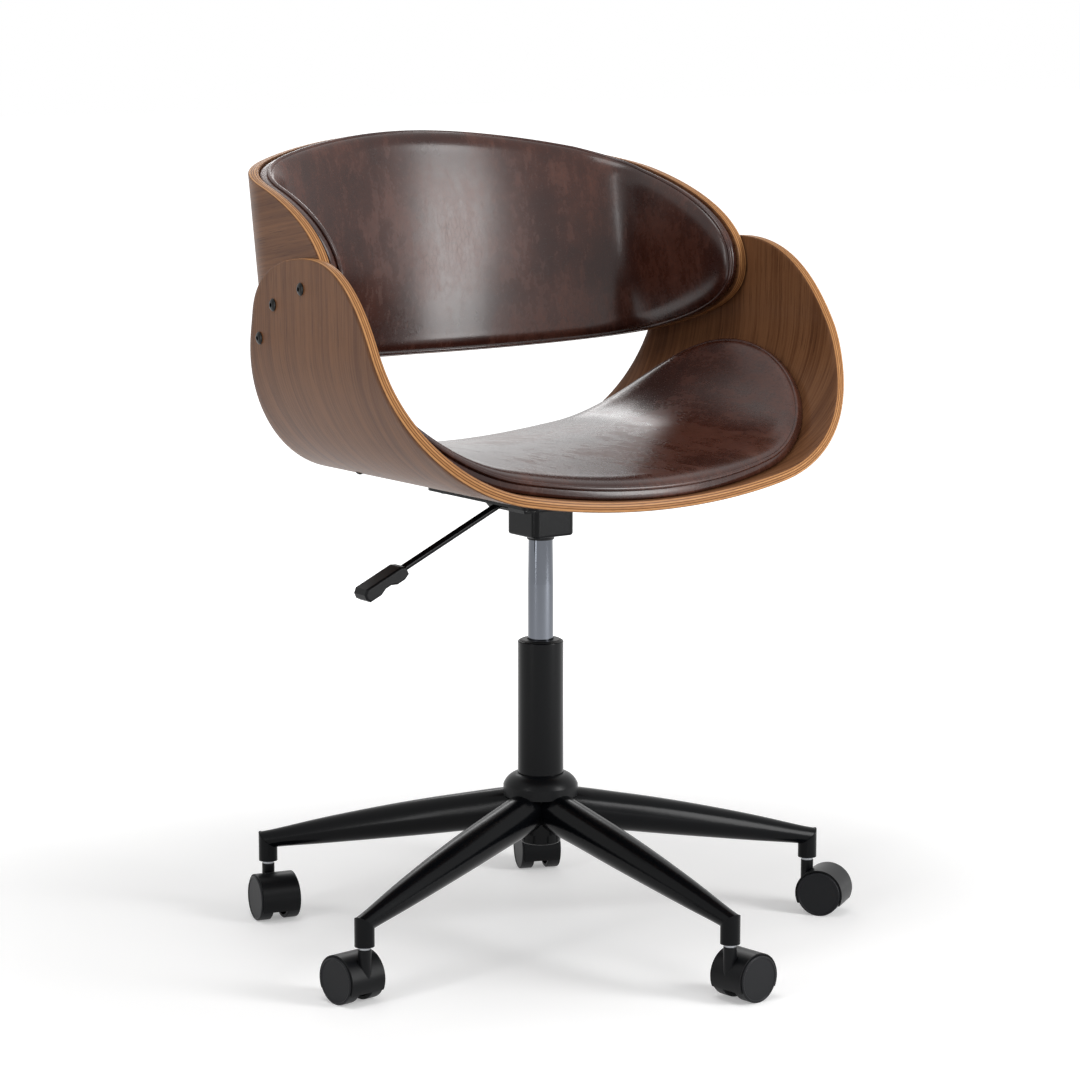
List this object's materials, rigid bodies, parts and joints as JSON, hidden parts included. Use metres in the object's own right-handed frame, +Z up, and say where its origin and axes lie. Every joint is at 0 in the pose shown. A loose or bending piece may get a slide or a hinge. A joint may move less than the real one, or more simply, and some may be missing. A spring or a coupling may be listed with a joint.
{
  "type": "swivel chair",
  "caption": "Swivel chair with bent-ply seat and back that wrap into arms, leather pads, gas lift and a five-star caster base.",
  "frame": {"origin": "point on the floor under the column's axis", "axes": "+Z up, -Y is the side that the sitter faces, the height lever is on the -X side"},
  "size_m": [0.6812, 0.6238, 0.8741],
  "materials": {
    "walnut_ply": "satin",
    "brown_leather": "semi-gloss",
    "black_steel": "satin",
    "black_plastic": "fine grain",
    "wheel_plastic": "satin",
    "black_bush": "satin",
    "nylon": "satin",
    "chrome": "polished",
    "zinc_steel": "bright",
    "black_screws": "satin",
    "rubber": "matte"
  },
  "bodies": {
    "base": {"hub": "black_steel", "hub_cap": "black_plastic", "leg_1": "black_steel", "leg_2": "black_steel", "leg_3": "black_steel", "leg_4": "black_steel", "leg_5": "black_steel", "leg_socket_1": "black_steel", "leg_socket_2": "black_steel", "leg_socket_3": "black_steel", "leg_socket_4": "black_steel", "leg_socket_5": "black_steel", "column_tube": "black_steel", "guide_bush": "black_bush", "thrust_bearing": "zinc_steel", "rubber_bumper": "rubber", "caster_stems": "zinc_steel", "stem_grip_rings": "zinc_steel"},
    "gas_rod": {"piston_rod": "zinc_steel", "piston": "nylon", "retaining_clip": "zinc_steel"},
    "seat": {"gas_cylinder": "chrome", "taper_bush": "black_bush", "mechanism_casing": "black_steel", "seat_plate": "black_steel", "plate_screws": "black_screws", "plate_spacers": "black_bush", "plate_inserts": "zinc_steel", "lever_pin": "black_screws", "seat_shell": "walnut_ply", "seat_pad": "brown_leather", "back_shell": "walnut_ply", "back_pad": "brown_leather", "arm_bolts": "black_screws", "back_inserts": "zinc_steel", "pad_screws": "black_screws"},
    "lever": {"release_lever": "black_steel", "lever_grip": "black_plastic"},
    "valve": {"valve_pin": "zinc_steel"},
    "caster_1": {"caster_hood_1": "black_plastic", "caster_axle_1": "zinc_steel"},
    "wheel_1_left": {"wheel_1_left": "wheel_plastic"},
    "wheel_1_right": {"wheel_1_right": "wheel_plastic"},
    "caster_2": {"caster_hood_2": "black_plastic", "caster_axle_2": "zinc_steel"},
    "wheel_2_left": {"wheel_2_left": "wheel_plastic"},
    "wheel_2_right": {"wheel_2_right": "wheel_plastic"},
    "caster_3": {"caster_hood_3": "black_plastic", "caster_axle_3": "zinc_steel"},
    "wheel_3_left": {"wheel_3_left": "wheel_plastic"},
    "wheel_3_right": {"wheel_3_right": "wheel_plastic"},
    "caster_4": {"caster_hood_4": "black_plastic", "caster_axle_4": "zinc_steel"},
    "wheel_4_left": {"wheel_4_left": "wheel_plastic"},
    "wheel_4_right": {"wheel_4_right": "wheel_plastic"},
    "caster_5": {"caster_hood_5": "black_plastic", "caster_axle_5": "zinc_steel"},
    "wheel_5_left": {"wheel_5_left": "wheel_plastic"},
    "wheel_5_right": {"wheel_5_right": "wheel_plastic"}
  },
  "joints": [
    {"name": "swivel", "type": "hinge", "parent": "base", "child": "gas_rod", "pos_m": [0, 0, 0.12], "axis": [0, 0, 1], "continuous": true},
    {"name": "height", "type": "slide", "parent": "gas_rod", "child": "seat", "axis": [0, 0, 1], "range_m": [-0.1, 0]},
    {"name": "lever_lift", "type": "hinge", "parent": "seat", "child": "lever", "pos_m": [-0.038, 0, 0.4936], "axis": [0, 1, 0], "range_deg": [0, 4], "stiffness_Nm_per_rad": 5, "springref_deg": -2.86},
    {"name": "valve_press", "type": "slide", "parent": "seat", "child": "valve", "axis": [0, 0, -1], "range_m": [0, 0.0028]},
    {"name": "caster_swivel_1", "type": "hinge", "parent": "base", "child": "caster_1", "pos_m": [0.17894, 0.26529, 0.045], "axis": [0, 0, 1], "continuous": true},
    {"name": "wheel_roll_1_left", "type": "hinge", "parent": "caster_1", "child": "wheel_1_left", "pos_m": [0.17145, 0.24675, 0.025], "axis": [0.9272, -0.3746, 0], "continuous": true},
    {"name": "wheel_roll_1_right", "type": "hinge", "parent": "caster_1", "child": "wheel_1_right", "pos_m": [0.17145, 0.24675, 0.025], "axis": [0.9272, -0.3746, 0], "continuous": true},
    {"name": "caster_swivel_2", "type": "hinge", "parent": "base", "child": "caster_2", "pos_m": [-0.19701, 0.25216, 0.045], "axis": [0, 0, 1], "continuous": true},
    {"name": "wheel_roll_2_left", "type": "hinge", "parent": "caster_2", "child": "wheel_2_left", "pos_m": [-0.20117, 0.2326, 0.025], "axis": [0.9781, -0.2079, 0], "continuous": true},
    {"name": "wheel_roll_2_right", "type": "hinge", "parent": "caster_2", "child": "wheel_2_right", "pos_m": [-0.20117, 0.2326, 0.025], "axis": [0.9781, -0.2079, 0], "continuous": true},
    {"name": "caster_swivel_3", "type": "hinge", "parent": "base", "child": "caster_3", "pos_m": [-0.3007, -0.10945, 0.045], "axis": [0, 0, 1], "continuous": true},
    {"name": "wheel_roll_3_left", "type": "hinge", "parent": "caster_3", "child": "wheel_3_left", "pos_m": [-0.30314, -0.0896, 0.025], "axis": [-0.9925, -0.1219, 0], "continuous": true},
    {"name": "wheel_roll_3_right", "type": "hinge", "parent": "caster_3", "child": "wheel_3_right", "pos_m": [-0.30314, -0.0896, 0.025], "axis": [-0.9925, -0.1219, 0], "continuous": true},
    {"name": "caster_swivel_4", "type": "hinge", "parent": "base", "child": "caster_4", "pos_m": [0.01117, -0.31981, 0.045], "axis": [0, 0, 1], "continuous": true},
    {"name": "wheel_roll_4_left", "type": "hinge", "parent": "caster_4", "child": "wheel_4_left", "pos_m": [0.03106, -0.31771, 0.025], "axis": [-0.1045, 0.9945, 0], "continuous": true},
    {"name": "wheel_roll_4_right", "type": "hinge", "parent": "caster_4", "child": "wheel_4_right", "pos_m": [0.03106, -0.31771, 0.025], "axis": [-0.1045, 0.9945, 0], "continuous": true},
    {"name": "caster_swivel_5", "type": "hinge", "parent": "base", "child": "caster_5", "pos_m": [0.3076, -0.0882, 0.045], "axis": [0, 0, 1], "continuous": true},
    {"name": "wheel_roll_5_left", "type": "hinge", "parent": "caster_5", "child": "wheel_5_left", "pos_m": [0.31879, -0.10479, 0.025], "axis": [0.829, 0.5592, 0], "continuous": true},
    {"name": "wheel_roll_5_right", "type": "hinge", "parent": "caster_5", "child": "wheel_5_right", "pos_m": [0.31879, -0.10479, 0.025], "axis": [0.829, 0.5592, 0], "continuous": true}
  ],
  "couplings": [
    {"joint": "valve_press", "follows": "lever_lift", "m_per_rad": 0.038}
  ]
}
